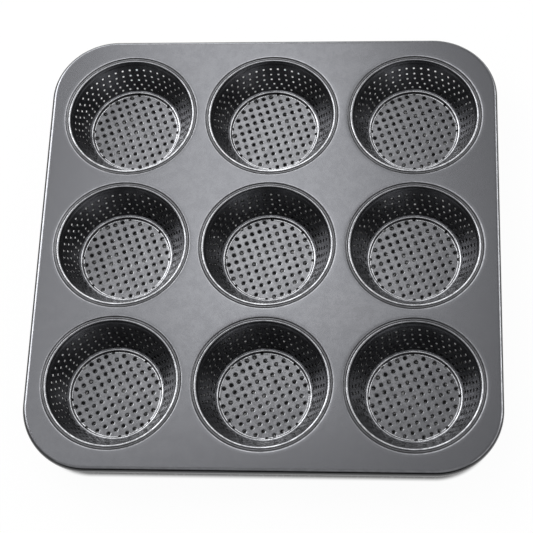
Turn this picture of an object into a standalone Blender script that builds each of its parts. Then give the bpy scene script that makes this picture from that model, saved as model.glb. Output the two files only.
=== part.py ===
"""Nine-cup muffin pan: a pressed top plate with a rolled edge, the wire inside that roll,
and nine separate perforated cups seated in the plate by their lips.

Units are metres and +Z is up. X runs across the pan, Y runs from front to back, and the
origin is under the middle of the pan, level with the undersides of the cups.
"""

import math

import bmesh
import bpy
from mathutils import Matrix, Vector

# Cups by row and column
ROW_NAMES = ("front", "middle", "back")
COLUMN_NAMES = ("left", "centre", "right")

# Sheet left bare between two lips of a row or a column, and round the outer lips
COLUMN_BRIDGE = 0.0072
ROW_BRIDGE = 0.0072
SIDE_BORDER = 0.0101
END_BORDER = 0.0126
CORNER_RADIUS = 0.0380

# Sheet metal and the gap that two neighbouring pieces keep
PLATE_THICKNESS = 0.0006
CUP_THICKNESS = 0.0006
FIT_GAP = 0.0003

# Rolled edge of the plate
EDGE_BEND_RADIUS = 0.0024
EDGE_SKIRT_HEIGHT = 0.0016
EDGE_CURL_RADIUS = 0.0020
EDGE_CURL_TURN = math.radians(200.0)

# Cup, measured on its inner face
LIP_RADIUS = 0.0384
LIP_WIDTH = 0.0015
MOUTH_ROUND = 0.0006
BAND_HEIGHT = 0.0020
BAND_TAPER = 0.0007
CUP_DEPTH = 0.0212
FLOOR_RADIUS = 0.0254
FOOT_STEP_WIDTH = 0.0014
FOOT_STEP_HEIGHT = 0.0012
WALL_FOOT_RADIUS = FLOOR_RADIUS + FOOT_STEP_WIDTH
WALL_FOOT_DEPTH = CUP_DEPTH - FOOT_STEP_HEIGHT

# Plan of the whole pan, which grows with its cups
CUP_PITCH_X = 2 * LIP_RADIUS + COLUMN_BRIDGE
CUP_PITCH_Y = 2 * LIP_RADIUS + ROW_BRIDGE
PAN_WIDTH = (len(COLUMN_NAMES) - 1) * CUP_PITCH_X + 2 * (LIP_RADIUS + SIDE_BORDER)
PAN_DEPTH = (len(ROW_NAMES) - 1) * CUP_PITCH_Y + 2 * (LIP_RADIUS + END_BORDER)

# Seat that carries a cup's lip, and the collar below it
SEAT_SLOPE_WIDTH = 0.0007
COLLAR_HEIGHT = 0.0030

# Holes through each cup's floor, on a square lattice turned in plan
FLOOR_HOLE_DIAMETER = 0.0020
FLOOR_HOLE_PITCH = 0.00665
FLOOR_HOLE_TURN = math.radians(64.0)
FLOOR_HOLE_MARGIN = 0.0010

# Holes through each cup's wall, in staggered rows, each a share of the way down the slope
WALL_HOLE_DIAMETER = 0.0018
WALL_ROW_SHARES = (0.19, 0.55, 0.91)
CUT_OVERRUN = 0.0010

# Counts
CIRCLE_STEPS = 24
CORNER_STEPS = 8
BEND_STEPS = 4
CURL_STEPS = 6
HOLE_SIDES = 4
WIRE_BEVEL_RESOLUTION = 2

# Distance under which two points of a turned profile count as one
MERGE_DISTANCE = 0.00001

# Dark grey non-stick coating, and the plain steel of the hidden wire
COATING_COLOUR = (0.150, 0.152, 0.160, 1.0)
COATING_ROUGHNESS = 0.42
COATING_METALLIC = 0.85
WIRE_COLOUR = (0.45, 0.45, 0.46, 1.0)
WIRE_ROUGHNESS = 0.35
WIRE_METALLIC = 1.0


def clear_scene():
    """Remove every object that the scene starts with."""
    for item in list(bpy.data.objects):
        bpy.data.objects.remove(item, do_unlink=True)


def new_collection(name):
    """Make a collection under the scene's own one."""
    group = bpy.data.collections.new(name)
    bpy.context.scene.collection.children.link(group)
    return group


def new_material(name, colour, roughness, metallic):
    """Make a plain metal material."""
    material = bpy.data.materials.new(name)
    material.use_nodes = True
    shader = material.node_tree.nodes["Principled BSDF"]
    shader.inputs["Base Color"].default_value = colour
    shader.inputs["Roughness"].default_value = roughness
    shader.inputs["Metallic"].default_value = metallic
    material.diffuse_color = colour
    return material


def evaluated_mesh(item, name):
    """Return a new mesh of the object as its modifiers leave it."""
    graph = bpy.context.evaluated_depsgraph_get()
    graph.update()
    mesh = bpy.data.meshes.new_from_object(item.evaluated_get(graph))
    mesh.name = name
    return mesh


def baked(item):
    """Turn an object with modifiers, or a curve, into a mesh and remove the object."""
    mesh = evaluated_mesh(item, item.name)
    bpy.data.objects.remove(item, do_unlink=True)
    return mesh


def plate_top():
    """Height of the plate's flat top face over the origin."""
    return CUP_DEPTH + CUP_THICKNESS


def cup_centres():
    """Name and plan position of each cup."""
    centres = []
    for row, row_name in enumerate(ROW_NAMES):
        for column, column_name in enumerate(COLUMN_NAMES):
            x = (column - (len(COLUMN_NAMES) - 1) / 2) * CUP_PITCH_X
            y = (row - (len(ROW_NAMES) - 1) / 2) * CUP_PITCH_Y
            centres.append((f"cup_{row_name}_{column_name}", x, y))
    return centres


def rounded_outline(inset):
    """Points of the pan's plan outline, moved inwards by inset, anticlockwise."""
    points = []
    radius = CORNER_RADIUS - inset
    for quarter in range(4):
        sign_x = 1 if quarter in (0, 3) else -1
        sign_y = 1 if quarter in (0, 1) else -1
        centre_x = sign_x * (PAN_WIDTH / 2 - CORNER_RADIUS)
        centre_y = sign_y * (PAN_DEPTH / 2 - CORNER_RADIUS)
        for step in range(CORNER_STEPS + 1):
            angle = math.pi / 2 * (quarter + step / CORNER_STEPS)
            points.append((centre_x + radius * math.cos(angle), centre_y + radius * math.sin(angle)))
    return points


def circle_outline(x, y, radius):
    """Points of a circle, in step with every turned shape of the part."""
    turns = [2 * math.pi * step / CIRCLE_STEPS for step in range(CIRCLE_STEPS)]
    return [(x + radius * math.cos(turn), y + radius * math.sin(turn)) for turn in turns]


def add_outline(curve, points):
    """Add a closed straight-sided outline to a curve."""
    spline = curve.splines.new("POLY")
    spline.points.add(len(points) - 1)
    for point, (x, y) in zip(spline.points, points):
        point.co = (x, y, 0.0, 1.0)
    spline.use_cyclic_u = True


def flat_sheet(group):
    """Flat face of the plate, at zero height, with an open circle for each cup."""
    curve = bpy.data.curves.new("plate_outline", "CURVE")
    curve.dimensions = "2D"
    curve.fill_mode = "BOTH"
    add_outline(curve, rounded_outline(EDGE_BEND_RADIUS))
    for _, x, y in cup_centres():
        add_outline(curve, circle_outline(x, y, seat_edge_radius()))
    item = bpy.data.objects.new("plate_outline", curve)
    group.objects.link(item)
    return baked(item)


def seat_edge_radius():
    """Radius where the plate's flat top turns down towards a cup's seat."""
    return LIP_RADIUS + FIT_GAP + SEAT_SLOPE_WIDTH


def collar_radius():
    """Inner radius of the collar: the cup's mouth, its sheet and the gap round it."""
    return LIP_RADIUS - LIP_WIDTH + CUP_THICKNESS - MOUTH_ROUND + FIT_GAP


def seat_steps():
    """Radius and height of each ring from the plate's top down a cup's collar."""
    seat_height = -(CUP_THICKNESS + FIT_GAP)
    return [
        (LIP_RADIUS + FIT_GAP, seat_height),
        (collar_radius(), seat_height),
        (collar_radius(), seat_height - COLLAR_HEIGHT),
    ]


def edge_steps():
    """How far out and how far down each ring of the rolled edge lies."""
    steps = []
    for step in range(1, BEND_STEPS + 1):
        angle = math.pi / 2 * step / BEND_STEPS
        out = EDGE_BEND_RADIUS * math.sin(angle)
        down = EDGE_BEND_RADIUS * (1 - math.cos(angle))
        steps.append((out, down))
    skirt_foot = EDGE_BEND_RADIUS + EDGE_SKIRT_HEIGHT
    for step in range(CURL_STEPS + 1):
        angle = EDGE_CURL_TURN * step / CURL_STEPS
        out = EDGE_BEND_RADIUS - EDGE_CURL_RADIUS * (1 - math.cos(angle))
        down = skirt_foot + EDGE_CURL_RADIUS * math.sin(angle)
        steps.append((out, down))
    return steps


def outward_direction(point):
    """Plan direction from a point of the outline straight out of the pan."""
    reach_x = PAN_WIDTH / 2 - CORNER_RADIUS
    reach_y = PAN_DEPTH / 2 - CORNER_RADIUS
    inner_x = min(max(point.x, -reach_x), reach_x)
    inner_y = min(max(point.y, -reach_y), reach_y)
    return Vector((point.x - inner_x, point.y - inner_y, 0.0)).normalized()


def extrude_loop(shell, edges, place):
    """Extrude a loop of edges once and put each new point where place says."""
    made = bmesh.ops.extrude_edge_only(shell, edges=edges)["geom"]
    for vert in (part for part in made if isinstance(part, bmesh.types.BMVert)):
        vert.co = place(vert.co.copy())
    return [part for part in made if isinstance(part, bmesh.types.BMEdge) and part.is_boundary]


def roll_edge(shell, edges):
    """Carry the sheet's outer loop round the bend, down the skirt and round the curl."""
    past_out, past_down = 0.0, 0.0
    for out, down in edge_steps():
        move_out, move_down = out - past_out, down - past_down

        def place(point):
            return point + outward_direction(point) * move_out - Vector((0.0, 0.0, move_down))

        edges = extrude_loop(shell, edges, place)
        past_out, past_down = out, down


def press_seat(shell, edges, x, y):
    """Carry one round opening's loop down its slope, along the seat and down the collar."""
    axis = Vector((x, y, 0.0))
    for radius, height in seat_steps():

        def place(point):
            spoke = Vector((point.x - axis.x, point.y - axis.y, 0.0)).normalized()
            return axis + spoke * radius + Vector((0.0, 0.0, height))

        edges = extrude_loop(shell, edges, place)


def near_axis(edge, x, y):
    """Whether an edge of the flat sheet belongs to the opening round this axis."""
    middle = (edge.verts[0].co + edge.verts[1].co) / 2
    return math.hypot(middle.x - x, middle.y - y) < seat_edge_radius()


def add_solidify(item, thickness):
    """Thicken an open sheet on its far side, away from its normals."""
    solid = item.modifiers.new("sheet", "SOLIDIFY")
    solid.thickness = thickness
    solid.offset = -1.0
    solid.use_even_offset = True


def shade_round(mesh):
    """Shade a mesh smooth, and keep its real corners sharp."""
    mesh.shade_smooth()
    mesh.set_sharp_from_angle(angle=math.radians(40.0))


def make_plate(group, material):
    """Top plate: flat sheet, nine seats with collars, and the rolled outer edge."""
    mesh = flat_sheet(group)
    shell = bmesh.new()
    shell.from_mesh(mesh)
    bmesh.ops.remove_doubles(shell, verts=shell.verts, dist=MERGE_DISTANCE)
    for face in shell.faces:
        if face.normal.z < 0:
            face.normal_flip()
    rims = [edge for edge in shell.edges if edge.is_boundary]
    for _, x, y in cup_centres():
        opening = [edge for edge in rims if near_axis(edge, x, y)]
        rims = [edge for edge in rims if edge not in opening]
        press_seat(shell, opening, x, y)
    roll_edge(shell, rims)
    shell.to_mesh(mesh)
    shell.free()
    mesh.name = "top_plate"
    shade_round(mesh)
    mesh.materials.append(material)
    item = bpy.data.objects.new("top_plate", mesh)
    item.location.z = plate_top()
    group.objects.link(item)
    add_solidify(item, PLATE_THICKNESS)
    return item


def cup_profile():
    """Radius and height of the cup's inner face, from its floor up to its lip's edge."""
    mouth = LIP_RADIUS - LIP_WIDTH
    neck = mouth - MOUTH_ROUND
    return [
        (FLOOR_RADIUS, -CUP_DEPTH),
        (WALL_FOOT_RADIUS, -WALL_FOOT_DEPTH),
        (neck - BAND_TAPER, -MOUTH_ROUND - BAND_HEIGHT),
        (neck, -MOUTH_ROUND),
        (mouth, 0.0),
        (LIP_RADIUS, 0.0),
    ]


def turned_surface(group, name, profile):
    """Open surface of revolution about Z through the profile's radii and heights."""
    mesh = bpy.data.meshes.new(name)
    verts = [(radius, 0.0, height) for radius, height in profile]
    edges = [(index, index + 1) for index in range(len(verts) - 1)]
    mesh.from_pydata(verts, edges, [])
    item = bpy.data.objects.new(name, mesh)
    group.objects.link(item)
    screw = item.modifiers.new("turn", "SCREW")
    screw.axis = "Z"
    screw.steps = CIRCLE_STEPS
    screw.render_steps = CIRCLE_STEPS
    screw.use_merge_vertices = True
    screw.merge_threshold = MERGE_DISTANCE
    return baked(item)


def close_floor(mesh):
    """Fill the open circle at the cup's foot with one flat face that looks up."""
    shell = bmesh.new()
    shell.from_mesh(mesh)
    rims = [edge for edge in shell.edges if edge.is_boundary]
    floor_rim = [edge for edge in rims if edge.verts[0].co.z < -WALL_FOOT_DEPTH]
    made = bmesh.ops.contextual_create(shell, geom=floor_rim)["faces"]
    for face in made:
        face.normal_update()
        if face.normal.z < 0:
            face.normal_flip()
    shell.to_mesh(mesh)
    shell.free()


def floor_hole_places():
    """Place of each floor hole's prism in the cup, upright and turned with the lattice."""
    reach = FLOOR_RADIUS - FLOOR_HOLE_MARGIN - FLOOR_HOLE_DIAMETER / 2
    count = math.ceil(reach / FLOOR_HOLE_PITCH)
    height = -CUP_DEPTH - CUP_THICKNESS / 2
    lattice = Matrix.Rotation(FLOOR_HOLE_TURN, 4, "Z")
    places = []
    for row in range(-count, count + 1):
        for column in range(-count, count + 1):
            place = Vector((column * FLOOR_HOLE_PITCH, row * FLOOR_HOLE_PITCH, height))
            if place.xy.length <= reach:
                places.append(lattice @ Matrix.Translation(place))
    return places


def wall_hole_places():
    """Place of each wall hole's prism in the cup, square to the flat of the wall it passes."""
    flat = math.cos(math.pi / CIRCLE_STEPS)
    band_foot, wall_foot = cup_profile()[2], cup_profile()[1]
    top = Vector((band_foot[0] * flat, 0.0, band_foot[1]))
    foot = Vector((wall_foot[0] * flat, 0.0, wall_foot[1]))
    slope = foot - top
    tilt = Matrix.Rotation(math.pi / 2 + math.atan2(-slope.x, -slope.z), 4, "Y")
    square_up = Matrix.Rotation(math.pi / HOLE_SIDES, 4, "Z")
    places = []
    for row, share in enumerate(WALL_ROW_SHARES):
        for step in range(row % 2, CIRCLE_STEPS, 2):
            turn = Matrix.Rotation(2 * math.pi * (step + 0.5) / CIRCLE_STEPS, 4, "Z")
            places.append(turn @ Matrix.Translation(top + share * slope) @ tilt @ square_up)
    return places


def add_prisms(tool, places, diameter):
    """Add one prism at each place, long enough to pass the cup's sheet on both faces."""
    for place in places:
        bmesh.ops.create_cone(
            tool,
            cap_ends=True,
            segments=HOLE_SIDES,
            radius1=diameter / 2,
            radius2=diameter / 2,
            depth=2 * (CUP_THICKNESS + CUT_OVERRUN),
            matrix=place,
        )


def make_hole_cutter(group):
    """Prisms for all the holes of one cup, in its floor and its wall."""
    tool = bmesh.new()
    add_prisms(tool, floor_hole_places(), FLOOR_HOLE_DIAMETER)
    add_prisms(tool, wall_hole_places(), WALL_HOLE_DIAMETER)
    mesh = bpy.data.meshes.new("hole_cutter")
    tool.to_mesh(mesh)
    tool.free()
    item = bpy.data.objects.new("hole_cutter", mesh)
    item.hide_render = True
    item.display_type = "WIRE"
    group.objects.link(item)
    return item


def make_cup_mesh(group, cutters, material):
    """Mesh of one cup: lip, plain band, perforated tapered wall, stepped foot and floor."""
    mesh = turned_surface(group, "cup_surface", cup_profile())
    close_floor(mesh)
    item = bpy.data.objects.new("cup_sheet", mesh)
    group.objects.link(item)
    add_solidify(item, CUP_THICKNESS)
    cut = item.modifiers.new("holes", "BOOLEAN")
    cut.operation = "DIFFERENCE"
    cut.solver = "EXACT"
    cut.object = make_hole_cutter(cutters)
    cup = baked(item)
    cup.name = "cup"
    shade_round(cup)
    cup.materials.clear()
    cup.materials.append(material)
    return cup


def make_cups(group, cutters, material):
    """Nine cups, each its own object, hanging by their lips on the plate's seats."""
    mesh = make_cup_mesh(group, cutters, material)
    for name, x, y in cup_centres():
        item = bpy.data.objects.new(name, mesh)
        item.location = (x, y, plate_top())
        group.objects.link(item)


def make_wire(group, material):
    """Closed wire loop that fills the curl of the plate's edge and stiffens it."""
    curve = bpy.data.curves.new("rim_wire", "CURVE")
    curve.dimensions = "3D"
    add_outline(curve, rounded_outline(EDGE_CURL_RADIUS))
    curve.bevel_depth = EDGE_CURL_RADIUS - PLATE_THICKNESS - FIT_GAP
    curve.bevel_resolution = WIRE_BEVEL_RESOLUTION
    curve.materials.append(material)
    item = bpy.data.objects.new("rim_wire", curve)
    item.location.z = plate_top() - EDGE_BEND_RADIUS - EDGE_SKIRT_HEIGHT
    group.objects.link(item)


def main():
    clear_scene()
    parts = new_collection("muffin_pan")
    cutters = new_collection("cutters")
    coating = new_material("dark_coating", COATING_COLOUR, COATING_ROUGHNESS, COATING_METALLIC)
    steel = new_material("wire_steel", WIRE_COLOUR, WIRE_ROUGHNESS, WIRE_METALLIC)
    make_plate(parts, coating)
    make_wire(parts, steel)
    make_cups(parts, cutters, coating)


main()
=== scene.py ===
"""Looks of a nine-cup muffin pan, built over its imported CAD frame.

Lengths are metres and +Z is up, in the CAD's own frame: X runs across the pan, Y runs from
front to back, and the origin lies under the middle of the pan, level with the undersides of
the cups. Heights of the pressed profiles are measured from the plate's flat top.
"""

import logging
import math
from collections.abc import Callable, Iterator
from contextlib import contextmanager
from dataclasses import dataclass, field
from enum import Enum

import bmesh
import bpy
from mathutils import Matrix, Vector


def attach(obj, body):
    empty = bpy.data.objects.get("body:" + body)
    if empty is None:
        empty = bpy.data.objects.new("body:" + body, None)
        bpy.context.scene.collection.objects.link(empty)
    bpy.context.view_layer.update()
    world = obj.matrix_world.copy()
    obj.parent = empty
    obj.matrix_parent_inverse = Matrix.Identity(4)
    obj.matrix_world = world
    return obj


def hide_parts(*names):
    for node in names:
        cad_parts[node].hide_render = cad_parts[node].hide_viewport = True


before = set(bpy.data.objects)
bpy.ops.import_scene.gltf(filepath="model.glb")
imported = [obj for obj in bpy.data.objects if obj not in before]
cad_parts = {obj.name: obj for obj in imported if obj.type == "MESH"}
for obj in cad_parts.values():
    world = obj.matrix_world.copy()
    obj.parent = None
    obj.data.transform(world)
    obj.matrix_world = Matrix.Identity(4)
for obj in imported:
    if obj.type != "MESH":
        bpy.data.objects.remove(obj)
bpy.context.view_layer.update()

# How near two places are to count as one: a seam's ends, a cut's corners, heights, places.
SEAM = 0.000005
SAME_POINT = 0.000002
SAME_LEVEL = 0.000001
SAME_PLACE = 0.00001
LOG = logging.getLogger("muffin_pan")

Pair = tuple[float, float]
Section = tuple[Pair, ...]
Tone = tuple[float, float, float]


def millimetres(*points: Pair) -> Section:
    """Turn a section of radii and heights from millimetres into metres."""
    return tuple((radius / 1000, height / 1000) for radius, height in points)


class Row(Enum):
    """Rows of cups, by their place in row pitches from the middle."""

    FRONT = -1
    MIDDLE = 0
    BACK = 1


class Column(Enum):
    """Columns of cups, by their place in column pitches from the middle."""

    LEFT = -1
    CENTRE = 0
    RIGHT = 1


class Pick(Enum):
    """What a selection in edit mode picks."""

    VERTICES = "VERT"
    EDGES = "EDGE"
    FACES = "FACE"


class CutSide(Enum):
    """Where a face of a punched cup comes from, by its place among the tool's materials."""

    SHEET = 0
    BROW = 1
    BORE = 2


class Slot(Enum):
    """Material slots of the record."""

    COATING = "coating"
    STEEL = "steel"


# ---------------------------------------------------------------- modelling bench


def clear_selection() -> None:
    """Leave edit mode and deselect every object."""
    if bpy.context.mode != "OBJECT":
        bpy.ops.object.mode_set(mode="OBJECT")
    bpy.ops.object.select_all(action="DESELECT")


def pick_only(piece: bpy.types.Object) -> None:
    """Make a piece the only selected and the active object.

    Args:
        piece: The piece.
    """
    clear_selection()
    piece.select_set(True)
    bpy.context.view_layer.objects.active = piece


@contextmanager
def editing(piece: bpy.types.Object) -> Iterator[None]:
    """Open a piece alone in edit mode, all of it selected, and leave edit mode after.

    Args:
        piece: The piece in object mode.

    Yields:
        Nothing, while the piece is in edit mode.
    """
    pick_only(piece)
    bpy.ops.object.mode_set(mode="EDIT")
    bpy.ops.mesh.select_all(action="SELECT")
    yield
    bpy.ops.object.mode_set(mode="OBJECT")


def rename(piece: bpy.types.Object, name: str) -> bpy.types.Object:
    """Give a piece and its mesh one name.

    Args:
        piece: The piece.
        name: The name.

    Returns:
        The same piece.
    """
    piece.name = name
    piece.data.name = name
    return piece


def copy_of(piece: bpy.types.Object, name: str, place: Matrix) -> bpy.types.Object:
    """Copy a piece with a mesh of its own, moved inside that mesh.

    Args:
        piece: The piece that is modelled already.
        name: Name of the copy.
        place: Where the copy's mesh goes, from where the piece's mesh is.

    Returns:
        The copy, linked to the scene, with its object at the origin.
    """
    twin = bpy.data.objects.new(name, piece.data.copy())
    twin.data.name = name
    twin.data.transform(place)
    bpy.context.scene.collection.objects.link(twin)
    return twin


def join_into(piece: bpy.types.Object, others: list[bpy.types.Object]) -> None:
    """Join other pieces into one piece.

    Args:
        piece: The piece that stays.
        others: The pieces that become part of it.
    """
    pick_only(piece)
    for other in others:
        other.select_set(True)
    bpy.ops.object.join()


def draw_section(name: str, points: list[Vector]) -> bpy.types.Object:
    """Draw an open section as a chain of edges, one extruded point after another.

    Args:
        name: Name of the new object.
        points: The section's points in order.

    Returns:
        The section, in object mode.
    """
    clear_selection()
    bpy.ops.mesh.primitive_plane_add(size=0.001, location=(0.0, 0.0, 0.0))
    piece = rename(bpy.context.active_object, name)
    with editing(piece):
        bpy.ops.mesh.select_mode(type=Pick.VERTICES.value)
        bpy.ops.mesh.select_all(action="SELECT")
        bpy.ops.mesh.merge(type="CENTER")
        bpy.ops.transform.translate(value=points[0])
        for past, point in zip(points, points[1:]):
            bpy.ops.mesh.extrude_vertices_move(TRANSFORM_OT_translate={"value": point - past})
    return piece


def select_where(piece: bpy.types.Object, pick: Pick, test: Callable[[object], bool]) -> None:
    """Select the parts of a mesh that pass a test, in edit mode.

    Args:
        piece: The object in edit mode.
        pick: Whether vertices, edges or faces are picked.
        test: Takes a vertex, edge or face and says whether it is selected.
    """
    bpy.ops.mesh.select_mode(type=pick.value)
    bpy.ops.mesh.select_all(action="DESELECT")
    shell = bmesh.from_edit_mesh(piece.data)
    parts = {Pick.VERTICES: shell.verts, Pick.EDGES: shell.edges, Pick.FACES: shell.faces}[pick]
    for part in [part for part in parts if test(part)]:
        part.select_set(True)
    bmesh.update_edit_mesh(piece.data)


def spin_round(piece: bpy.types.Object, steps: int) -> None:
    """Turn a section once round the Z axis and close the seam.

    Args:
        piece: The section in object mode.
        steps: How many steps the turn has.
    """
    with editing(piece):
        bpy.ops.mesh.spin(steps=steps, angle=2 * math.pi, center=(0, 0, 0), axis=(0, 0, 1))
        bpy.ops.mesh.select_all(action="SELECT")
        bpy.ops.mesh.remove_doubles(threshold=SEAM)


def face_up(piece: bpy.types.Object) -> None:
    """Make a sheet's normals agree, with its level faces looking up.

    Args:
        piece: The sheet in object mode.
    """
    with editing(piece):
        bpy.ops.mesh.normals_make_consistent(inside=False)
        shell = bmesh.from_edit_mesh(piece.data)
        if sum(face.normal.z * face.calc_area() for face in shell.faces) < 0:
            bpy.ops.mesh.flip_normals()


def thicken(piece: bpy.types.Object, thickness: float) -> None:
    """Give a sheet its thickness on the side away from its normals.

    Args:
        piece: The sheet in object mode.
        thickness: Its thickness.
    """
    pick_only(piece)
    sheet = piece.modifiers.new("sheet", "SOLIDIFY")
    sheet.thickness = thickness
    sheet.offset = -1.0
    sheet.use_even_offset = True
    bpy.ops.object.modifier_apply(modifier=sheet.name)


def smooth(
    piece: bpy.types.Object, degrees: float, is_sharp: Callable[[object], bool] | None = None
) -> None:
    """Shade a piece smooth and keep corners over an angle, and chosen edges, sharp.

    Args:
        piece: The piece in object mode.
        degrees: The angle over which a corner stays sharp.
        is_sharp: Takes an edge and says whether it is sharp whatever its angle.
    """
    pick_only(piece)
    bpy.ops.object.shade_smooth_by_angle(angle=math.radians(degrees))
    if is_sharp:
        with editing(piece):
            select_where(piece, Pick.EDGES, is_sharp)
            bpy.ops.mesh.mark_sharp()


def mark_highlight_and_shade(piece: bpy.types.Object, highlight_and_shade: Callable[[Vector], Pair]) -> None:
    """Write how much painted highlight and painted shade each point of a piece takes.

    Args:
        piece: The piece in object mode.
        highlight_and_shade: Takes a point and returns its shares of painted highlight and of
            painted shade.
    """
    shares = [highlight_and_shade(vert.co) for vert in piece.data.vertices]
    for name, values in zip(("edge_highlight_paint", "painted_groove_shade"), zip(*shares)):
        marks = piece.data.attributes.new(name, "FLOAT", "POINT")
        marks.data.foreach_set("value", values)


def hand_over(
    piece: bpy.types.Object, finish: bpy.types.Material, slot: Slot, node: str
) -> None:
    """Dress a piece in one finish and hand it to the frame in place of a CAD node.

    Args:
        piece: The piece in object mode.
        finish: Its only material.
        slot: The record's slot for it; not used.
        node: Name of the CAD node that it replaces.
    """
    piece.data.materials.clear()
    piece.data.materials.append(finish)
    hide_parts(node)
    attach(piece, "root")


# ---------------------------------------------------------------- sizes of the whole pan


@dataclass(frozen=True)
class PanPlan:
    """Plan and heights that every piece of the pan shares."""

    pitch_x: float = 0.0840
    pitch_y: float = 0.0840
    width: float = 0.2650
    depth: float = 0.2700
    corner_radius: float = 0.0380
    top: float = 0.0218
    sheet: float = 0.0006
    circle_steps: int = 144
    corner_steps: int = 24

    def axis(self, row: Row, column: Column) -> Vector:
        """Where a cup's upright axis meets the plate's top."""
        return Vector((column.value * self.pitch_x, row.value * self.pitch_y, self.top))

    def runs(self) -> Pair:
        """Half the length of the outline's straight runs, across and from front to back."""
        return self.width / 2 - self.corner_radius, self.depth / 2 - self.corner_radius

    def beyond_runs(self, spot: Vector) -> Vector:
        """How far a place lies beyond the outline's straight runs, as a plan vector."""
        pairs = zip(spot, self.runs())
        return Vector([math.copysign(max(abs(at) - run, 0.0), at) for at, run in pairs])

    def seats(self) -> Iterator[tuple[str, Vector]]:
        """Name and axis of each cup's CAD node, row by row from the front left.

        Yields:
            The node's name, and where the cup's upright axis meets the plate's top.
        """
        for row in Row:
            for column in Column:
                yield f"cup_{row.name.lower()}_{column.name.lower()}", self.axis(row, column)

    def sweep(self, piece: bpy.types.Object) -> None:
        """Carry a section at the left end of the front side once round the rounded plan.

        Args:
            piece: The section, whose points lie across the front side's outline.
        """
        run_x, run_y = self.runs()
        corners = ((run_x, -run_y), (run_x, run_y), (-run_x, run_y), (-run_x, -run_y))
        runs = ((2 * run_x, 0), (0, 2 * run_y), (-2 * run_x, 0), (0, -2 * run_y))
        with editing(piece):
            bpy.ops.mesh.select_mode(type=Pick.EDGES.value)
            bpy.ops.mesh.select_all(action="SELECT")
            for corner, along in zip(corners, runs):
                bpy.ops.mesh.extrude_edges_move(TRANSFORM_OT_translate={"value": (*along, 0)})
                bpy.ops.mesh.spin(
                    steps=self.corner_steps,
                    angle=math.pi / 2,
                    center=(*corner, 0.0),
                    axis=(0.0, 0.0, -1.0),
                )
            bpy.ops.mesh.select_all(action="SELECT")
            bpy.ops.mesh.remove_doubles(threshold=SEAM)


# ---------------------------------------------------------------- finishes


class Wiring:
    """Adds and links the nodes of one tree."""

    def __init__(self, tree: bpy.types.NodeTree) -> None:
        """Keep the tree that is wired."""
        self.tree = tree

    def add(self, kind: str, **settings: object) -> bpy.types.Node:
        """Add a node and set its own properties.

        Args:
            kind: The node's type.
            **settings: Its properties by name.

        Returns:
            The node.
        """
        node = self.tree.nodes.new(kind)
        for name, value in settings.items():
            setattr(node, name, value)
        return node

    def link(self, source: bpy.types.NodeSocket, target: bpy.types.NodeSocket) -> None:
        """Link an output to an input."""
        self.tree.links.new(source, target)

    def feed(self, value: object, target: bpy.types.NodeSocket) -> None:
        """Link an output to an input, or set the input to a number or an opaque colour.

        Args:
            value: The output, the number or the colour.
            target: The input.
        """
        if isinstance(value, bpy.types.NodeSocket):
            self.link(value, target)
        else:
            target.default_value = (*value, 1.0) if isinstance(value, tuple) else value

    def mark(self, name: str, output: str = "Fac") -> bpy.types.NodeSocket:
        """Read one of a mesh's attributes."""
        return self.add("ShaderNodeAttribute", attribute_name=name).outputs[output]

    def maths(self, operation: str, *values: object) -> bpy.types.NodeSocket:
        """Add a math node over sockets and numbers.

        Args:
            operation: The math node's operation.
            *values: Each input, as a socket to link or a number to set.

        Returns:
            The node's output.
        """
        node = self.add("ShaderNodeMath", operation=operation)
        for socket, value in zip(node.inputs, values):
            self.feed(value, socket)
        return node.outputs[0]

    def mix(
        self, first: object, last: object, mask: bpy.types.NodeSocket, kind: str = "RGBA"
    ) -> bpy.types.NodeSocket:
        """Mix two colours, or numbers, by a mask.

        Args:
            first: What shows where the mask is 0, as a socket or a value.
            last: What shows where the mask is 1, as a socket or a value.
            mask: The mask.
            kind: The mix node's data type.

        Returns:
            The node's output.
        """
        node = self.add("ShaderNodeMix", data_type=kind)
        for name, value in (("A", first), ("B", last), ("Factor", mask)):
            self.feed(value, node.inputs[name])
        return node.outputs["Result"]

    def noise(
        self,
        place: bpy.types.NodeSocket,
        scale: object,
        detail: float = 2.0,
        roughness: float = 0.5,
    ) -> bpy.types.NodeSocket:
        """Add a noise over a place.

        Args:
            place: Where the noise reads its place from.
            scale: Its scale, as a socket or a number.
            detail: How many finer layers it has.
            roughness: How strong the finer layers are.

        Returns:
            The noise, from 0 to 1.
        """
        node = self.add("ShaderNodeTexNoise", noise_dimensions="3D")
        values = {"Vector": place, "Scale": scale, "Detail": detail, "Roughness": roughness}
        for name, value in values.items():
            self.feed(value, node.inputs[name])
        return node.outputs[0]

    def bump(self, height: bpy.types.NodeSocket, depth: float) -> bpy.types.NodeSocket:
        """Turn a height from 0 to 1 into the normals of a relief of some depth.

        Args:
            height: The height.
            depth: How deep the relief is.

        Returns:
            The normals.
        """
        node = self.add("ShaderNodeBump")
        node.inputs["Distance"].default_value = depth
        self.link(height, node.inputs["Height"])
        return node.outputs["Normal"]

    def span(
        self, value: bpy.types.NodeSocket, low: float, high: float, first: float, last: float
    ) -> bpy.types.NodeSocket:
        """Map a value that runs from low to high onto first to last, held at both ends.

        Args:
            value: The value.
            low: Where the map starts.
            high: Where it ends.
            first: What it gives at low.
            last: What it gives at high.

        Returns:
            The mapped value.
        """
        node = self.add("ShaderNodeMapRange", interpolation_type="SMOOTHSTEP")
        self.link(value, node.inputs["Value"])
        ends = {"From Min": low, "From Max": high, "To Min": first, "To Max": last}
        for name, number in ends.items():
            node.inputs[name].default_value = number
        return node.outputs["Result"]


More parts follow.
